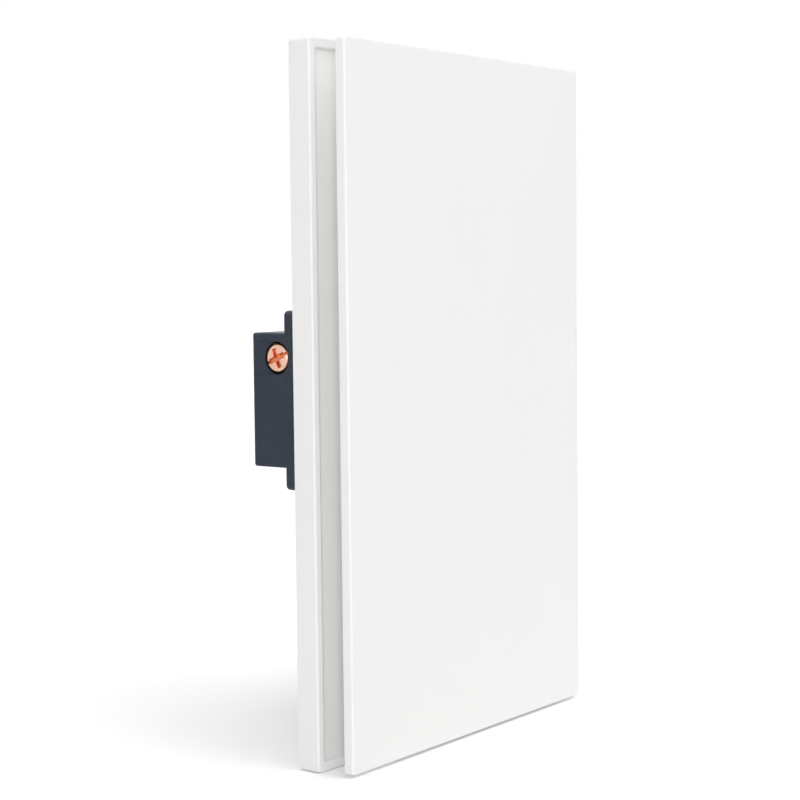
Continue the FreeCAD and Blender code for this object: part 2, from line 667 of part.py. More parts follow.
def make_plunger_spring():
    """The compression spring that presses the plunger out of the leg."""
    body = new_body("plunger_spring")
    sketch = new_sketch(body, "Z", "0")
    # The wire's section is a hexagon, which keeps the coil's mesh light.
    side, rise = "spring_wire / 4", "spring_wire * cos(30) / 2"
    corners = [("spring_wire / 2", "0"), (side, rise), (f"0 - {side}", rise)]
    corners += [("0 - spring_wire / 2", "0"), (f"0 - {side}", f"0 - {rise}"), (side, f"0 - {rise}")]
    draw_polygon(sketch, [(f"spring_radius + ({x})", f"spring_start + ({y})") for x, y in corners])
    doc.recompute()
    coil = body.newObject("PartDesign::AdditiveHelix", "Coil")
    coil.Profile = sketch
    coil.ReferenceAxis = (sketch, ["V_Axis"])
    coil.Mode = "height-turns-angle"
    coil.setExpression("Height", spelled("spring_stop - spring_start"))
    coil.setExpression("Turns", spelled("spring_turns"))
    turn(body, "pivot_depth", "tilt")
    return body


def make_contact_blade():
    """The rocking blade with its two side pins."""
    body = new_body("contact_blade")
    plate = four("blade_half_length", "blade_half_width")
    pad(body, "Y", "blade_front", "blade_back", plate)
    pin = ("0", "blade_axis_depth", "blade_pin_radius")
    pin_end = "blade_half_width + blade_pin_length"
    pad(body, "Z", f"0 - ({pin_end})", pin_end, pin)
    turn(body, "blade_axis_depth", "0 - blade_swing")
    return body


def make_moving_contact(name, side):
    """One silver tip riveted to the back of the blade."""
    body = new_body(f"moving_contact_{name}")
    disc = (signed(side, "contact_arm"), "0", "contact_radius")
    tip = pad(body, "Y", "blade_back", "blade_back + contact_height", disc)
    soften("Chamfer", body, tip, "contact_bevel", back_edge)
    turn(body, "blade_axis_depth", "0 - blade_swing")
    return body


def make_fixed_contact(name, side):
    """One silver tip on the front of a way's strip."""
    body = new_body(f"fixed_contact_{name}")
    disc = (signed(side, "contact_arm"), "0", "fixed_contact_radius")
    tip = pad(body, "Y", "contact_face", "strip_front", disc)
    soften("Chamfer", body, tip, "contact_play * 5", front_edge)
    return body


def strip_hole(body, x_side, z_side):
    """Cut the wire's way through a strip."""
    hole = (
        signed(x_side, "terminal_place_x"),
        signed(z_side, "terminal_place_z"),
        "strip_hole_radius",
    )
    pocket(body, "Y", "strip_front", "floor_inside", hole)


def make_common_strip():
    """The common strip, folded up into two notched cheeks that carry the blade."""
    body = new_body("common_strip")
    left, right = span("-", "0 - cheek_half_width", "strip_end")
    pad(body, "Y", "strip_front", "floor_inside", (left, right, "strip_low", "strip_high"))
    foot = ("0 - cheek_half_width", "cheek_half_width", "0 - cheek_outer", "strip_high")
    pad(body, "Y", "strip_front", "floor_inside", foot)
    cheek_front = "blade_axis_depth - blade_pin_radius"
    for side in ("-", "+"):
        low, high = span(side, "cheek_inner", "cheek_outer")
        cheek = ("0 - cheek_half_width", "cheek_half_width", low, high)
        pad(body, "Y", cheek_front, "strip_front", cheek)
    notch_half = "blade_pin_radius + notch_play"
    notch = ("0", "blade_axis_depth", notch_half)
    mouth = (f"0 - ({notch_half})", notch_half, cheek_front, "blade_axis_depth")
    pocket(body, "Z", "0 - cheek_outer", "cheek_outer", notch)
    pocket(body, "Z", "0 - cheek_outer", "cheek_outer", mouth)
    strip_hole(body, "-", "+")
    return body


def make_way_strip(name, contact_side, z_side):
    """The strip from one fixed contact to its terminal on the right."""
    body = new_body(f"{name}_strip")
    low, high = span(z_side, "strip_low", "strip_high")
    inner = "way_strip_inner" if contact_side == "+" else "0 - way_strip_outer"
    pad(body, "Y", "strip_front", "floor_inside", (inner, "strip_end", low, high))
    low, high = span(z_side, "0 - fixed_contact_radius", "strip_high")
    left, right = span(contact_side, "way_strip_inner", "way_strip_outer")
    pad(body, "Y", "strip_front", "floor_inside", (left, right, low, high))
    strip_hole(body, "+", z_side)
    return body


def make_terminal_block(name, x_side, z_side):
    """One brass block with its wire bore and its tapped screw hole."""
    body = new_body(f"{name}_block")
    left, right = span(x_side, "terminal_place_x - block_half", "block_outer")
    low, high = span(z_side, "terminal_place_z - block_half", "terminal_place_z + block_half")
    block = pad(body, "Y", "block_front", "strip_front", (left, right, low, high))
    soften("Chamfer", body, block, "block_bevel", outer_corner)
    centre = signed(z_side, "terminal_place_z")
    bore = (signed(x_side, "terminal_place_x"), centre, "wire_bore_radius")
    pocket(body, "Y", "block_front", "strip_front", bore)
    left, right = span(x_side, "terminal_place_x", "block_outer")
    tapped = ("terminal_screw_depth", centre, "screw_shank_radius + thread_play")
    pocket(body, "X", left, right, tapped)
    return body


def make_terminal_screw(name, x_side, z_side):
    """One clamp screw: shank, round head, straight slot and cross recess."""
    body = new_body(f"{name}_screw")
    centre = signed(z_side, "terminal_place_z")
    axis = ("terminal_screw_depth", centre)
    left, right = span(x_side, "head_inner", "head_outer")
    head = pad(body, "X", left, right, (*axis, "screw_head_radius"))

    def outer_rim(edge, box):
        face = box.XMax if x_side == "+" else box.XMin
        return near(edge.XMin, face) and near(edge.XMax, face)

    soften("Chamfer", body, head, "screw_head_bevel", outer_rim)
    left, right = span(x_side, "shank_inner", "head_inner")
    pad(body, "X", left, right, (*axis, "screw_shank_radius"))
    cross_length, cross_width = "screw_cross_length / 2", "screw_cross_width / 2"
    slot_length, slot_width = "screw_head_radius", "screw_slot_width / 2"
    cuts = (
        (slot_length, slot_width, "screw_slot_depth"),
        (cross_length, cross_width, "screw_cross_depth"),
        (cross_width, cross_length, "screw_cross_depth"),
    )
    for y_half, z_half, depth in cuts:
        left, right = span(x_side, f"head_outer - {depth}", "head_outer")
        pocket(body, "X", left, right, box_at(axis[0], y_half, centre, z_half))
    return body


def check_pieces(bodies):
    """Stop if a feature failed or a piece is empty or broken."""
    doc.recompute()
    for item in doc.Objects:
        if {"Invalid", "Error"} & set(item.State):
            raise RuntimeError(f"{item.Label} failed: {item.State}")
    for body in bodies:
        if body.Shape.isNull() or not body.Shape.isValid():
            raise RuntimeError(f"{body.Label} has no sound solid")
        if len(body.Shape.Solids) != 1:
            raise RuntimeError(f"{body.Label} is {len(body.Shape.Solids)} solids")


def main():
    """Build every piece, check it and write it to its own file."""
    make_sheet()
    bodies = [
        make_mounting_frame(),
        make_rocker_panel(),
        make_rocker_carrier(),
        make_front_cover(),
        make_rear_housing(),
        make_plunger(),
        make_plunger_spring(),
        make_contact_blade(),
        make_moving_contact("one", "-"),
        make_moving_contact("two", "+"),
        make_fixed_contact("one", "-"),
        make_fixed_contact("two", "+"),
        make_common_strip(),
        make_way_strip("way_one", "-", "-"),
        make_way_strip("way_two", "+", "+"),
    ]
    for name, x_side, z_side in TERMINALS:
        bodies.append(make_terminal_block(name, x_side, z_side))
        bodies.append(make_terminal_screw(name, x_side, z_side))
    check_pieces(bodies)
    os.makedirs("parts", exist_ok=True)
    for body in bodies:
        body.Shape.exportStep(f"parts/{body.Label}.step")


main()
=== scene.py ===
"""Look of a single light switch with one large floating rocker plate.

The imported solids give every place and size. This script dresses them: it softens the
mouldings' edges, builds the clamp screws and the spring as worked-out surfaces, gives each
piece its finish, and sets the floor, the light and the camera.
Lengths are in metres: X across the plate, Y into the wall, Z up.
"""
import json
import logging
from dataclasses import dataclass, field
from enum import Enum
from math import cos, pi, radians, sin

import bmesh
import bpy
import numpy as np
from mathutils import Matrix, Vector


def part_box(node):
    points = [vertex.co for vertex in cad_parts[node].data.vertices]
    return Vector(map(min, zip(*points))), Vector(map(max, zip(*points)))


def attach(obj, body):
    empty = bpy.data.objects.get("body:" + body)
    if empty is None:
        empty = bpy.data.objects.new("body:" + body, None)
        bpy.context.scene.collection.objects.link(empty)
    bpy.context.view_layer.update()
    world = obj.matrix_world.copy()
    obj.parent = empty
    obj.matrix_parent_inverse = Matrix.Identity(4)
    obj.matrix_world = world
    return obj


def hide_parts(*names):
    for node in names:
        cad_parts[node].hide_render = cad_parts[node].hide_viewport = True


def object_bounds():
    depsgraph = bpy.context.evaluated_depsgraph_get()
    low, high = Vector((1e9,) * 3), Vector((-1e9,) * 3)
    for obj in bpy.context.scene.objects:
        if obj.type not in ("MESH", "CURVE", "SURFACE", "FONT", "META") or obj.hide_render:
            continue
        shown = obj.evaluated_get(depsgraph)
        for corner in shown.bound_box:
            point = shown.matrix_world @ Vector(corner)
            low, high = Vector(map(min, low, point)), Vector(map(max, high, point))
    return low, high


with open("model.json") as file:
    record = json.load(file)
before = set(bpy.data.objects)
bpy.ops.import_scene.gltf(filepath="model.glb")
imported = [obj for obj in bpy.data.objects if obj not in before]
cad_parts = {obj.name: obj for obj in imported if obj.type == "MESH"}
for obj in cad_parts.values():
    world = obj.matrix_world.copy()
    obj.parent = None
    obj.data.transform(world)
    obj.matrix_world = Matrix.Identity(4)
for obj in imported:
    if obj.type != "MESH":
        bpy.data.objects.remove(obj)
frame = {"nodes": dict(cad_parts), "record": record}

MM = 0.001
# How far points may stray and still count as in one plane, and as one point.
PLANE_PLAY = 0.001 * MM
MERGE_PLAY = 0.0001 * MM
# Where noise, which lies about 0.5, counts as low and as high.
NOISE_LOW, NOISE_HIGH = 0.3, 0.7
LIGHT_BOUNCES, DIFFUSE_BOUNCES = 16, 12
CAD_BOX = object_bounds()
SCREW_FACE = -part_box("common_screw")[0].x
log = logging.getLogger("switch")


class Slot(Enum):
    """The record's material slots."""

    WHITE = "white_plastic"
    CARRIER = "carrier_plastic"
    SLATE = "slate_plastic"
    NYLON = "nylon"
    SPRING = "spring_steel"
    BRASS = "brass"
    SILVER = "silver"
    COPPER = "copper"


class Side(Enum):
    """Which side of the middle a terminal lies on."""

    LEFT = -1
    RIGHT = 1


class Tree:
    """A material's or world's node tree, built by short calls."""

    def __init__(self, owner: bpy.types.ID) -> None:
        """Empty the owner's tree and keep it.

        Args:
            owner: the material or world to build nodes in.
        """
        owner.use_nodes = True
        self.tree = owner.node_tree
        self.tree.nodes.clear()

    def add(self, kind: str, **inputs: object) -> bpy.types.Node:
        """Add one node and fill its inputs.

        Args:
            kind: the node's type without its "ShaderNode" start.
            inputs: a value or an output socket for each input, by its name with
                underscores, or by its number as in _0. A name that the node has as a
                property sets that property.

        Returns:
            The new node.
        """
        node = self.tree.nodes.new("ShaderNode" + kind)
        for name in [name for name in inputs if hasattr(node, name)]:
            setattr(node, name, inputs.pop(name))
        for name, value in inputs.items():
            key = int(name[1:]) if name[1:].isdigit() else name.replace("_", " ")
            socket = node.inputs[key]
            if isinstance(value, bpy.types.NodeSocket):
                self.tree.links.new(value, socket)
            else:
                socket.default_value = value
        return node

    def blend(
        self, factor: bpy.types.NodeSocket, low: tuple, high: tuple | bpy.types.NodeSocket
    ) -> bpy.types.NodeSocket:
        """Run from one colour to another as a factor goes from 0 to 1.

        The Mix node's colours are its inputs 6 and 7, and its colour output is number 2.

        Args:
            factor: the output that steers the blend.
            low: the colour at 0.
            high: the colour at 1, or the socket that gives it.

        Returns:
            The blended colour's socket.
        """
        end = (*high, 1) if isinstance(high, tuple) else high
        return self.add("Mix", data_type="RGBA", _0=factor, _6=(*low, 1), _7=end).outputs[2]

    def spread(self, factor: bpy.types.NodeSocket, low: float, high: float) -> bpy.types.NodeSocket:
        """Stretch noise that lies about 0.5 to run from one value to another.

        Args:
            factor: the noise's output.
            low: the value where the noise is low.
            high: the value where the noise is high.

        Returns:
            The stretched value's socket.
        """
        node = self.add(
            "MapRange",
            Value=factor,
            From_Min=NOISE_LOW,
            From_Max=NOISE_HIGH,
            To_Min=low,
            To_Max=high,
        )
        return node.outputs[0]

    def place(self) -> bpy.types.NodeSocket:
        """Give the object's own coordinates."""
        return self.add("TexCoord").outputs["Object"]

    def noise(self, scale: float, detail: float) -> bpy.types.NodeSocket:
        """Give noise over the object's own coordinates.

        Args:
            scale: how many lumps lie along a metre.
            detail: how many finer layers are laid over the first.

        Returns:
            The noise's value socket.
        """
        return self.add("TexNoise", Vector=self.place(), Scale=scale, Detail=detail).outputs[0]


@dataclass(frozen=True)
class Plastic:
    """A moulded plastic: its colour drifts a little and its skin has a fine grain.

    Clouds, patches and grain are counted in lumps along a metre.
    """

    slot: Slot
    colour: tuple
    drift: float
    roughness: tuple
    grain: float
    grain_height: float
    sheen_ior: float = 1.5
    translucency: float = 0.0
    light_depth: float = 0.6 * MM
    clouds: float = 45.0
    patches: float = 320.0
    grain_strength: float = 0.6

    def build(self) -> bpy.types.Material:
        """Make the material.

        Returns:
            The finished material.
        """
        material = bpy.data.materials.new(self.slot.value)
        tree = Tree(material)
        cloud = tree.noise(self.clouds, detail=2)
        low = tuple(c * (1 - self.drift) for c in self.colour)
        high = tuple(min(1.0, c * (1 + self.drift)) for c in self.colour)
        patches = tree.noise(self.patches, detail=3)
        grain = tree.noise(self.grain, detail=4)
        bump = tree.add(
            "Bump", Height=grain, Strength=self.grain_strength, Distance=self.grain_height
        )
        shader = tree.add(
            "BsdfPrincipled",
            Base_Color=tree.blend(cloud, low, high),
            Roughness=tree.spread(patches, *self.roughness),
            Normal=bump.outputs[0],
            IOR=self.sheen_ior,
        )
        if self.translucency:
            shader.inputs["Subsurface Weight"].default_value = self.translucency
            shader.inputs["Subsurface Scale"].default_value = self.light_depth
        tree.add("OutputMaterial", Surface=shader.outputs[0])
        return material


@dataclass(frozen=True)
class Metal:
    """A metal: its colour drifts, and it has tumbled specks.

    Clouds and specks are counted in lumps along a metre. A metal with a colour for painted shade
    shows that darker, redder colour up to the first distance from the switch's middle in level,
    where a screw's slot and cross lie deep, and its own colour from the second.
    """

    slot: Slot
    colour: tuple
    tarnish: tuple
    roughness: tuple
    speck_height: float
    # painted shade: a darker, redder colour that stands in for the shade in a screw's slot and
    # cross
    recess_shade: tuple = ()
    level: tuple = (0.0, 1.0)
    clouds: float = 700.0
    specks: float = 2600.0
    speck_strength: float = 0.5

    def tone(self, tree: Tree, cloud: bpy.types.NodeSocket) -> bpy.types.NodeSocket:
        """Give the metal's colour, with painted shade: darker in what lies deep in a screw's head.

        Args:
            tree: the node tree to build in.
            cloud: the noise that the colour drifts with.

        Returns:
            The colour's socket.
        """
        plain = tree.blend(cloud, self.tarnish, self.colour)
        if not self.recess_shade:
            return plain
        # painted shade: the darker colour takes over where the head's face lies deep
        across = tree.add("SeparateXYZ", Vector=tree.place()).outputs[0]
        far = tree.add("Math", operation="ABSOLUTE", _0=across).outputs[0]
        share = tree.add("MapRange", Value=far, From_Min=self.level[0], From_Max=self.level[1])
        return tree.blend(share.outputs[0], self.recess_shade, plain)

    def build(self) -> bpy.types.Material:
        """Make the material.

        Returns:
            The finished material.
        """
        material = bpy.data.materials.new(self.slot.value)
        tree = Tree(material)
        cloud = tree.noise(self.clouds, detail=3)
        specks = tree.noise(self.specks, detail=3)
        bump = tree.add(
            "Bump", Height=specks, Strength=self.speck_strength, Distance=self.speck_height
        )
        shader = tree.add(
            "BsdfPrincipled",
            Base_Color=self.tone(tree, cloud),
            Roughness=tree.spread(specks, *self.roughness),
            Normal=bump.outputs[0],
            Metallic=1.0,
        )
        tree.add("OutputMaterial", Surface=shader.outputs[0])
        return material


FINISHES = (
    Plastic(Slot.WHITE, (0.9, 0.9, 0.892), 0.012, (0.5, 0.62), 5200, 0.004 * MM, 1.45),
    Plastic(Slot.CARRIER, (0.79, 0.79, 0.77), 0.03, (0.45, 0.6), 3600, 0.01 * MM),
    Plastic(Slot.SLATE, (0.019, 0.028, 0.044), 0.1, (0.42, 0.6), 4200, 0.02 * MM, 1.36),
    Plastic(Slot.NYLON, (0.80, 0.76, 0.66), 0.03, (0.35, 0.5), 3000, 0.006 * MM, 1.53, 0.25),
    Metal(Slot.SPRING, (0.62, 0.62, 0.61), (0.46, 0.46, 0.46), (0.22, 0.34), 0.003 * MM),
    Metal(Slot.BRASS, (0.78, 0.60, 0.29), (0.62, 0.44, 0.19), (0.3, 0.42), 0.001 * MM),
    Metal(Slot.SILVER, (0.88, 0.87, 0.84), (0.66, 0.65, 0.62), (0.14, 0.26), 0.002 * MM),
    Metal(
        Slot.COPPER,
        (0.76, 0.52, 0.405),
        (0.71, 0.43, 0.315),
        (0.34, 0.48),
        0.005 * MM,
        # painted shade for the screw heads' slots and crosses, and the depths over which it fades
        # out
        (0.68, 0.23, 0.11),
        (SCREW_FACE - 0.35 * MM, SCREW_FACE - 0.15 * MM),
    ),
)


class Workshop:
    """Keeps the finishes and puts each finished mesh on its body."""

    def __init__(self) -> None:
        """Make every finish, and note each node's body and slot from the record."""
        self.materials = {finish.slot: finish.build() for finish in FINISHES}
        record = frame["record"]
        self.slots = {row["node"]: Slot(row["material_slot"]) for row in record["subparts"]}
        bodies = record["behaviour"]["bodies"]
        self.bodies = {node: body for body, nodes in bodies.items() for node in nodes}

    def show(self, mesh: bpy.types.Mesh, node: str) -> bpy.types.Object:
        """Show a mesh in place of a CAD node, on that node's body.

        Args:
            mesh: the finished mesh, in the frame's coordinates.
            node: the CAD node that it stands for.

        Returns:
            The piece's object.
        """
        piece = bpy.data.objects.new(mesh.name, mesh)
        bpy.context.scene.collection.objects.link(piece)
        slot = self.slots[node]
        mesh.materials.append(self.materials[slot])
        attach(piece, self.bodies[node])
        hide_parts(node)
        log.info("%s: %d faces in place of %s", mesh.name, len(mesh.polygons), node)
        return piece

    def dress(self, node: str) -> None:
        """Give a CAD node that stays in view its own finish.

        Args:
            node: the CAD node's name.
        """
        piece = frame["nodes"][node]
        piece.data.materials.clear()
        piece.data.materials.append(self.materials[self.slots[node]])
        log.info("%s: the CAD solid in %s", node, self.slots[node].value)


def grid_mesh(name: str, points: np.ndarray, round_u: bool, round_v: bool) -> bpy.types.Mesh:
    """Put a grid of points into a mesh of four-sided faces.

    The face at row i and column j joins points (i, j), (i, j+1), (i+1, j+1) and (i+1, j).

    Args:
        name: the mesh's name.
        points: an array of rows by columns by 3.
        round_u: whether the last row joins the first.
        round_v: whether the last column joins the first.

    Returns:
        The mesh, with coinciding points merged and its faces outwards.
    """
    rows, columns = points.shape[:2]
    index = np.arange(rows * columns).reshape(rows, columns)
    if round_u:
        index = np.vstack([index, index[:1]])
    if round_v:
        index = np.hstack([index, index[:, :1]])
    corners = (index[:-1, :-1], index[:-1, 1:], index[1:, 1:], index[1:, :-1])
    faces = np.stack(corners, axis=-1).reshape(-1, 4)
    mesh = bpy.data.meshes.new(name)
    mesh.from_pydata(points.reshape(-1, 3).tolist(), [], faces.tolist())
    return mend(mesh)


def mend(mesh: bpy.types.Mesh) -> bpy.types.Mesh:
    """Merge coinciding points, point the faces outwards and shade them smoothly.

    Args:
        mesh: the mesh to mend.

    Returns:
        The same mesh.
    """
    work = bmesh.new()
    work.from_mesh(mesh)
    bmesh.ops.remove_doubles(work, verts=work.verts, dist=MERGE_PLAY)
    bmesh.ops.recalc_face_normals(work, faces=work.faces)
    work.to_mesh(mesh)
    work.free()
    mesh.shade_smooth()
    return mesh


@dataclass
class RecessCove:
    """The soft inward corner between the wall and the floor of the frame's recess."""

    rim: float = 1.7 * MM
    depth: float = 0.8 * MM
    corner: float = 0.5 * MM
    radius: float = 0.39 * MM
    sunk: float = 0.05 * MM
    corner_steps: int = 9
    arc_steps: int = 9

    def mesh(self, node: str) -> bpy.types.Mesh:
        """Carry a hollow quarter circle round the recess's outline.

        The outline is a rectangle with quarter circles for corners. A point of the section
        lies at the radius less its cosine from the wall, and at the radius less its sine
        above the floor. The section closes at one point sunk behind both faces.

        Args:
            node: the CAD node that has the recess.

        Returns:
            The closed strip's mesh.
        """
        low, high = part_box(node)
        angle = np.linspace(0, pi / 2, self.corner_steps)[None, :] + np.arange(4)[:, None] * pi / 2
        way = np.stack([np.cos(angle), np.sin(angle)], axis=-1)
        half = np.array([high.x - low.x, high.z - low.z]) / 2 - self.rim - self.corner
        centre = np.array([[1, 1], [-1, 1], [-1, -1], [1, -1]]) * half
        outline = (centre[:, None] + self.corner * way).reshape(-1, 1, 2)
        turn = np.linspace(0, pi / 2, self.arc_steps)
        inward = np.append(self.radius * (1 - np.cos(turn)), -self.sunk)
        above = np.append(self.radius * (1 - np.sin(turn)), -self.sunk)
        place = outline - way.reshape(-1, 1, 2) * inward[None, :, None]
        level = np.broadcast_to(low.y + self.depth - above, place.shape[:2])
        middle = ((low.x + high.x) / 2, (low.z + high.z) / 2)
        points = np.stack([place[..., 0] + middle[0], level, place[..., 1] + middle[1]], axis=-1)
        return grid_mesh("recess_cove", points, True, True)


@dataclass
class Moulding:
    """A CAD solid shown with the small rounds that a moulding or stamping has.

    Edge and front_edge are the rounds' widths. Creases, sharp edges and flat joints are told
    apart by their angles in degrees, and what is smaller than a speck is closed up.
    """

    node: str
    name: str
    edge: float = 0.1 * MM
    front_edge: float = 0.1 * MM
    crease: float = 50.0
    sharp: float = 32.0
    flat: float = 0.6
    speck: float = 0.02 * MM
    segments: int = 2
    cove: RecessCove | None = None

    def mesh(self) -> bpy.types.Mesh:
        """Merge a copy of the solid's loose triangles into clean flat faces.

        Returns:
            The merged mesh.
        """
        source = frame["nodes"][self.node].data
        points = np.empty(len(source.vertices) * 3)
        source.vertices.foreach_get("co", points)
        corners = np.empty(len(source.loops), dtype=np.int64)
        source.loops.foreach_get("vertex_index", corners)
        kept, merged = np.unique(points.reshape(-1, 3).round(8), axis=0, return_inverse=True)
        faces = merged.reshape(-1)[corners].reshape(-1, 3)
        whole = (faces != np.roll(faces, 1, axis=1)).all(axis=1)
        mesh = bpy.data.meshes.new(self.name)
        mesh.from_pydata(kept.tolist(), [], faces[whole].tolist())
        return mesh

    def weigh(self, mesh: bpy.types.Mesh, angles: np.ndarray) -> None:
        """Give each outward corner its share of the widest round, as the bevel's weight.

        An edge whose two ends lie in the piece's foremost plane, which is the least Y, gets
        the front edge's round. Every other outward corner gets the plain one.

        Args:
            mesh: the merged mesh.
            angles: the angle between each edge's two faces, above 0 where it turns outwards.
        """
        ends = np.empty(len(mesh.edges) * 2, dtype=np.int32)
        mesh.edges.foreach_get("vertices", ends)
        points = np.empty(len(mesh.vertices) * 3)
        mesh.vertices.foreach_get("co", points)
        depth = points.reshape(-1, 3)[:, 1]
        foremost = (depth[ends.reshape(-1, 2)] < depth.min() + PLANE_PLAY).all(axis=1)
        width = np.where(foremost, self.front_edge, self.edge) * (angles > radians(self.crease))
        share = width / max(self.edge, self.front_edge)
        weights = mesh.attributes.new("bevel_weight_edge", "FLOAT", "EDGE")
        weights.data.foreach_set("value", share.astype(np.float32))

    def build(self, workshop: Workshop) -> bpy.types.Object:
        """Show the softened copy, with its cove if it has one, in place of the solid.

        The solid's own edges are tagged, so that the bevel leaves the cove alone.

        Args:
            workshop: what dresses and places it.

        Returns:
            The piece's object.
        """
        mesh = self.mesh()
        work = bmesh.new()
        work.from_mesh(mesh)
        bmesh.ops.dissolve_degenerate(work, dist=self.speck, edges=work.edges)
        bmesh.ops.dissolve_limit(
            work,
            angle_limit=radians(self.flat),
            use_dissolve_boundaries=False,
            verts=work.verts,
            edges=work.edges,
        )
        for edge in work.edges:
            edge.tag = True
        if self.cove:
            work.from_mesh(self.cove.mesh(self.node))
        angles = np.array(
            [edge.calc_face_angle_signed(0.0) if edge.tag else 0.0 for edge in work.edges]
        )
        work.to_mesh(mesh)
        work.free()
        mesh.shade_smooth()
        self.weigh(mesh, angles)
        mesh.set_sharp_from_angle(angle=radians(self.sharp))
        piece = workshop.show(mesh, self.node)
        bevel = piece.modifiers.new("edges", "BEVEL")
        bevel.width = max(self.edge, self.front_edge)
        bevel.segments = self.segments
        bevel.limit_method = "WEIGHT"
        bevel.use_clamp_overlap = False
        bevel.harden_normals = True
        return piece


@dataclass
class PhotoCamera:
    """The camera at the photograph's viewing angle.

    It looks back at the origin from the azimuth and elevation, turned by the roll. Across and
    rise move it in its own plane, and the focal length is in pixels of the picture.
    """

    azimuth: float = -51.8346
    elevation: float = 3.80511
    roll: float = -0.63104
    distance: float = 336.685 * MM
    across: float = 5.08095 * MM
    rise: float = 0.742045 * MM
    focal: float = 1916.78
    picture: float = 800.0
    sensor: float = 36.0
    near: float = 0.01

    def build(self) -> bpy.types.Object:
        """Make the camera and set it as the scene's own.

        Returns:
            The camera's object.
        """
        a, e, r = radians(self.azimuth), radians(self.elevation), radians(self.roll)
        back = np.array([sin(a) * cos(e), -cos(a) * cos(e), sin(e)])
        right = np.cross(-back, (0, 0, 1))
        right /= np.linalg.norm(right)
        up = np.cross(right, -back)
        right, up = right * cos(r) + up * sin(r), up * cos(r) - right * sin(r)
        place = back * self.distance - right * self.across - up * self.rise
        lens = bpy.data.cameras.new("camera")
        lens.sensor_fit = "HORIZONTAL"
        lens.sensor_width = self.sensor
        lens.lens = self.focal / self.picture * self.sensor
        lens.clip_start = self.near
        camera = bpy.data.objects.new("camera", lens)
        columns = np.eye(4)
        columns[:3, :4] = np.stack([right, up, back, place], axis=1)
        camera.matrix_world = Matrix(columns.tolist())
        bpy.context.scene.collection.objects.link(camera)
        bpy.context.scene.camera = camera
        return camera


@dataclass
class Studio:
    """The pale floor, the white surround and the soft light.

    Each lamp has a name, the direction that its light comes from, the width of its disc in
    degrees and its strength.
    """

    sky: float = 0.17
    floor_shade: float = 0.9
    floor_gain: float = 1.32
    floor_drop: float = 0.15 * MM
    floor_reach: float = 30.0
    floor_points: int = 5
    lamps: tuple = (
        ("front", (-0.785, -0.617, 0.14), 22.0, 1.4),
        ("above", (0.1, -0.75, 0.66), 40.0, 0.37),
        ("top", (0.0, -0.25, 0.97), 60.0, 1.5),
        ("rear", (0.45, 0.85, 0.5), 90.0, 1.15),
    )

    def seen(self, tree: Tree) -> bpy.types.NodeSocket:
        """Tell a ray from the camera or a reflection from a ray that lights.

        Args:
            tree: the node tree to build in.

        Returns:
            A socket that is 1 for a ray that is seen.
        """
        path = tree.add("LightPath")
        seen = path.outputs["Is Camera Ray"]
        for kind in ("Is Glossy Ray", "Is Transmission Ray"):
            seen = tree.add("Math", operation="MAXIMUM", _0=seen, _1=path.outputs[kind]).outputs[0]
        return seen

    def build(self) -> None:
        """Make the surround, the floor and the lamps."""
        world = bpy.data.worlds.new("surround")
        tree = Tree(world)
        level = tree.add("MapRange", Value=self.seen(tree), To_Min=self.sky, To_Max=1.0)
        surround = tree.add("Background", Color=(1, 1, 1, 1), Strength=level.outputs[0])
        tree.add("OutputWorld", Surface=surround.outputs[0])
        bpy.context.scene.world = world
        self.make_floor()
        for name, place, spread, power in self.lamps:
            lamp = bpy.data.lights.new(name, "SUN")
            lamp.angle = radians(spread)
            lamp.energy = power
            holder = bpy.data.objects.new(name, lamp)
            holder.location = place
            holder.rotation_euler = Vector(place).to_track_quat("Z", "Y").to_euler()
            bpy.context.scene.collection.objects.link(holder)

    def make_floor(self) -> None:
        """Lay a wide flat floor under the switch that shows white and keeps its shadow."""
        reach = np.linspace(-self.floor_reach, self.floor_reach, self.floor_points)
        across, along = np.meshgrid(reach, reach)
        level = np.full_like(across, CAD_BOX[0][2] - self.floor_drop)
        mesh = grid_mesh("floor", np.stack([across, along, level], axis=-1), False, False)
        material = bpy.data.materials.new("floor")
        tree = Tree(material)
        bright = self.floor_shade * self.floor_gain
        shade = tree.add("MapRange", Value=self.seen(tree), To_Min=self.floor_shade, To_Max=bright)
        matt = tree.add("BsdfDiffuse", Color=shade.outputs[0])
        tree.add("OutputMaterial", Surface=matt.outputs[0])
        mesh.materials.append(material)
        floor = bpy.data.objects.new("floor", mesh)
        bpy.context.scene.collection.objects.link(floor)


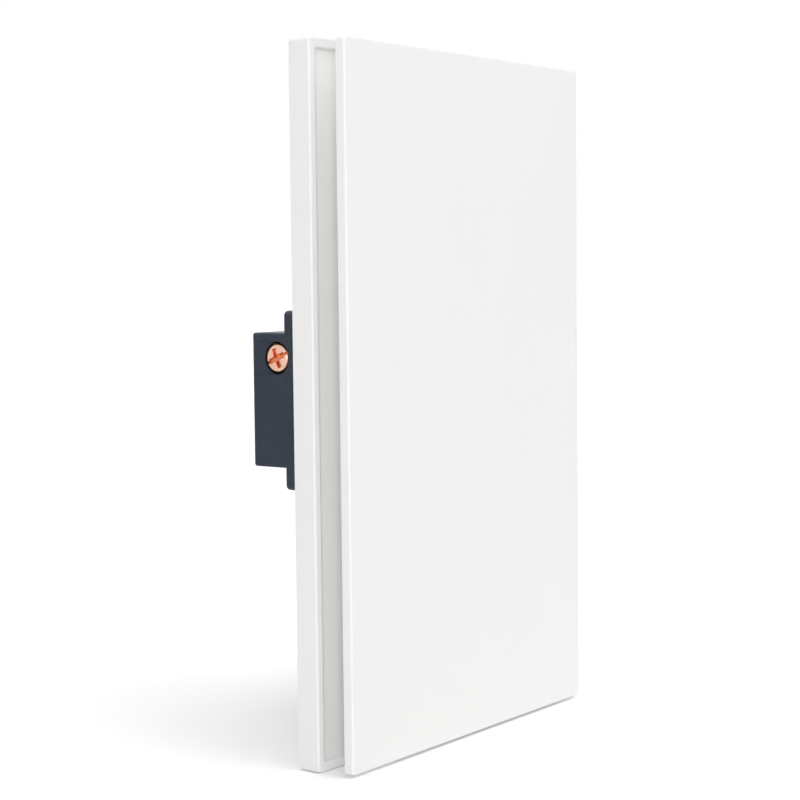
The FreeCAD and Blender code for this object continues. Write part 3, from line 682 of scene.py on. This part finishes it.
@dataclass
class ClampScrew:
    """A pan-headed clamp screw with a straight slot crossed by a cross recess."""

    node: str
    side: Side
    head_radius: float = 2.45 * MM
    head_height: float = 1.5 * MM
    edge_round: float = 0.5 * MM
    crown: float = 0.1 * MM
    slot_half: float = 0.2 * MM
    slot_depth: float = 0.62 * MM
    cross_half: float = 0.42 * MM
    cross_reach: float = 1.7 * MM
    cross_depth: float = 1.0 * MM
    cross_taper: float = 0.45
    wall: float = 0.07 * MM
    shank_radius: float = 1.5 * MM
    thread_depth: float = 0.16 * MM
    pitch: float = 0.5 * MM
    turn: float = 67.4
    around: int = 240
    thread_rings: int = 10
    rim_rings: int = 9
    face_rings: int = 71
    tip_rings: tuple = (0.0, 0.35, 0.7, 0.95)
    under_rings: tuple = ((0.985, 0.0), (1.0, 0.03 * MM))

    def step(self, distance: np.ndarray) -> np.ndarray:
        """Rise smoothly from 0 to 1 as a distance goes from minus to plus one wall.

        Args:
            distance: how far each point lies outside a cut's edge.

        Returns:
            The share of the full height at each point.
        """
        share = np.clip(distance / self.wall * 0.5 + 0.5, 0, 1)
        return share * share * (3 - 2 * share)

    def head_face(self, radius: np.ndarray, angle: np.ndarray) -> np.ndarray:
        """Give the height of the head's outer face over its flat underside.

        The height is the head's own less a crown that falls with the square of the radius,
        less the depth of the slot or the cross, whichever is deeper, faded over one wall.

        Args:
            radius: distance from the screw's axis.
            angle: angle round the axis.

        Returns:
            The height at each point.
        """
        across, along = radius * np.cos(angle), radius * np.sin(angle)
        slot = 1 - self.step(np.abs(across) - self.slot_half)
        taper = 1 - self.cross_taper * np.clip(radius / self.cross_reach, 0, 1)
        arms = [
            1 - self.step(np.maximum(np.abs(a) - self.cross_half, np.abs(b) - self.cross_reach))
            for a, b in ((across, along), (along, across))
        ]
        cross = np.maximum(*arms) * taper * self.cross_depth
        top = self.head_height - self.crown * (radius / self.head_radius) ** 2
        return top - np.maximum(slot * self.slot_depth, cross)

    def profile(self, low: float) -> tuple:
        """Give the radius of each ring from the shank's end to the middle of the head.

        The shank's thread is a ridge of triangular section that climbs one pitch a turn.
        The head's rim is a quarter circle, and its face is cut as head_face says.

        Args:
            low: how far the shank's end lies under the head.

        Returns:
            Radii and heights as arrays of rings by columns, and the columns' angles.
        """
        angle = np.linspace(0, 2 * pi, self.around, endpoint=False)[None, :]
        flat = np.ones_like(angle)
        rise = np.linspace(low, 0, int(-low / self.pitch * self.thread_rings))[:, None]
        phase = (rise / self.pitch - angle / (2 * pi)) % 1.0
        fade = np.clip((rise - low) / self.pitch, 0, 1)
        shank = self.shank_radius - self.thread_depth * (1 - fade * (1 - np.abs(2 * phase - 1)))
        tip = np.array(self.tip_rings)[:, None] * (self.shank_radius - self.thread_depth)
        under, under_height = np.array(self.under_rings).T[..., None]
        arc = np.linspace(0, pi / 2, self.rim_rings)[:, None]
        rim = self.head_radius - self.edge_round * (1 - np.cos(arc))
        face = np.linspace(self.head_radius - self.edge_round, 0, self.face_rings + 1)[1:, None]
        radii = np.vstack(
            [tip * flat, shank, under * self.head_radius * flat, rim * flat, face * flat]
        )
        side = self.head_height - self.crown - self.edge_round
        edge_height = side + self.edge_round * np.sin(arc)
        cut = self.head_face(radii[-self.face_rings :], angle) - self.head_height + self.crown
        rim_cut = self.head_face(rim * flat, angle) - self.head_height + self.crown
        outer = np.minimum(edge_height * flat, side + self.edge_round + np.minimum(rim_cut, 0))
        top = self.head_height - self.crown + np.minimum(cut, self.crown)
        ends = np.full_like(tip, low)
        heights = np.vstack([ends * flat, rise * flat, under_height * flat, outer, top])
        return radii, heights, angle

    def build(self, workshop: Workshop) -> bpy.types.Object:
        """Build the screw where its CAD node lies.

        Args:
            workshop: what dresses and places it.

        Returns:
            The piece's object.
        """
        low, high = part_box(self.node)
        outward = self.side.value
        face = high.x if outward > 0 else low.x
        seat = face - outward * self.head_height
        shank = (high.x - low.x) - self.head_height
        centre_y, centre_z = (low.y + high.y) / 2, (low.z + high.z) / 2
        radii, heights, angle = self.profile(-shank)
        turned = angle + radians(self.turn)
        points = np.stack(
            [
                seat + outward * heights,
                centre_y + radii * np.cos(turned),
                centre_z + radii * np.sin(turned),
            ],
            axis=-1,
        )
        name = self.node.replace("screw", "clamp_screw")
        return workshop.show(grid_mesh(name, points, False, True), self.node)


@dataclass
class CoilSpring:
    """The plunger's compression spring, with closed ends.

    It stays rigid in every pose, so its free end leaves the plunger room to travel.
    """

    node: str = "plunger_spring"
    coil_radius: float = 1.6 * MM
    wire_radius: float = 0.17 * MM
    turns: float = 6.0
    tilt: float = 2.5
    pivot: float = 1.5 * MM
    travel: float = 0.42 * MM
    closing: float = 0.75
    turn_steps: int = 40
    wire_steps: int = 12

    def build(self, workshop: Workshop) -> bpy.types.Object:
        """Sweep a round wire along a helix whose pitch closes up at both ends.

        The centreline goes round the axis by the angle u, and rises by a mix of u and the
        smooth step of u over the turns, which lays the end turns closer. The wire's circle
        stands square to the centreline's tangent.

        Args:
            workshop: what dresses and places it.

        Returns:
            The piece's object.
        """
        u = np.linspace(0, 1, int(self.turns * self.turn_steps))[:, None]
        v = np.linspace(0, 2 * pi, self.wire_steps, endpoint=False)[None, :]
        angle = 2 * pi * self.turns * u
        low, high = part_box(self.node)
        lean = self.coil_radius * sin(radians(self.tilt))
        start, end = low.y + lean + self.wire_radius, high.y - lean - self.wire_radius - self.travel
        share = (1 - self.closing) * u + self.closing * u * u * (3 - 2 * u)
        rise = start + (end - start) * share
        outward = np.concatenate([np.cos(angle), 0 * angle, np.sin(angle)], axis=1)
        line = self.coil_radius * outward + np.concatenate([0 * rise, rise, 0 * rise], axis=1)
        tangent = np.gradient(line, axis=0)
        tangent /= np.linalg.norm(tangent, axis=1, keepdims=True)
        side = np.cross(tangent, outward)
        ring = np.cos(v)[..., None] * outward[:, None] + np.sin(v)[..., None] * side[:, None]
        points = line[:, None] + self.wire_radius * ring
        first, last = (line[i, None, None].repeat(self.wire_steps, 1) for i in (0, -1))
        points = np.concatenate([first, points, last])
        turn = Matrix.Rotation(radians(self.tilt), 4, "Z")
        middle = Vector((0, self.pivot, 0))
        mesh = grid_mesh("coil_spring", points, False, True)
        mesh.transform(Matrix.Translation(middle) @ turn @ Matrix.Translation(-middle))
        return workshop.show(mesh, self.node)


@dataclass
class Switch:
    """The whole switch: mouldings, screws, spring and inner metal parts."""

    mouldings: tuple = (
        Moulding("mounting_frame", "tray_frame", front_edge=0.4 * MM, cove=RecessCove()),
        Moulding("rocker_panel", "rocker_plate"),
        Moulding("rear_housing", "module_housing"),
        Moulding("front_cover", "module_cover", edge=0.07 * MM, front_edge=0.07 * MM),
        Moulding("rocker_carrier", "plate_carrier"),
    )
    plain: tuple = (
        "plunger",
        "contact_blade",
        "moving_contact_one",
        "moving_contact_two",
        "fixed_contact_one",
        "fixed_contact_two",
        "common_strip",
        "way_one_strip",
        "way_two_strip",
        "common_block",
        "way_one_block",
        "way_two_block",
    )
    screws: tuple = (
        ClampScrew("common_screw", Side.LEFT),
        ClampScrew("way_one_screw", Side.RIGHT, turn=21.0),
        ClampScrew("way_two_screw", Side.RIGHT, turn=-35.0),
    )
    spring: CoilSpring = field(default_factory=CoilSpring)

    def build(self, workshop: Workshop) -> None:
        """Build and dress every piece.

        Args:
            workshop: what dresses and places them.
        """
        for moulding in self.mouldings:
            moulding.build(workshop)
        for node in self.plain:
            workshop.dress(node)
        for screw in self.screws:
            screw.build(workshop)
        self.spring.build(workshop)


def main() -> None:
    """Build the switch, the studio and the camera."""
    logging.basicConfig(level=logging.INFO, format="%(name)s: %(message)s")
    scene = bpy.context.scene
    scene.view_settings.view_transform = "Standard"
    scene.cycles.max_bounces = LIGHT_BOUNCES
    scene.cycles.diffuse_bounces = DIFFUSE_BOUNCES
    Switch().build(Workshop())
    Studio().build()
    PhotoCamera().build()
    bpy.context.view_layer.update()


if __name__ == "__main__":
    main()
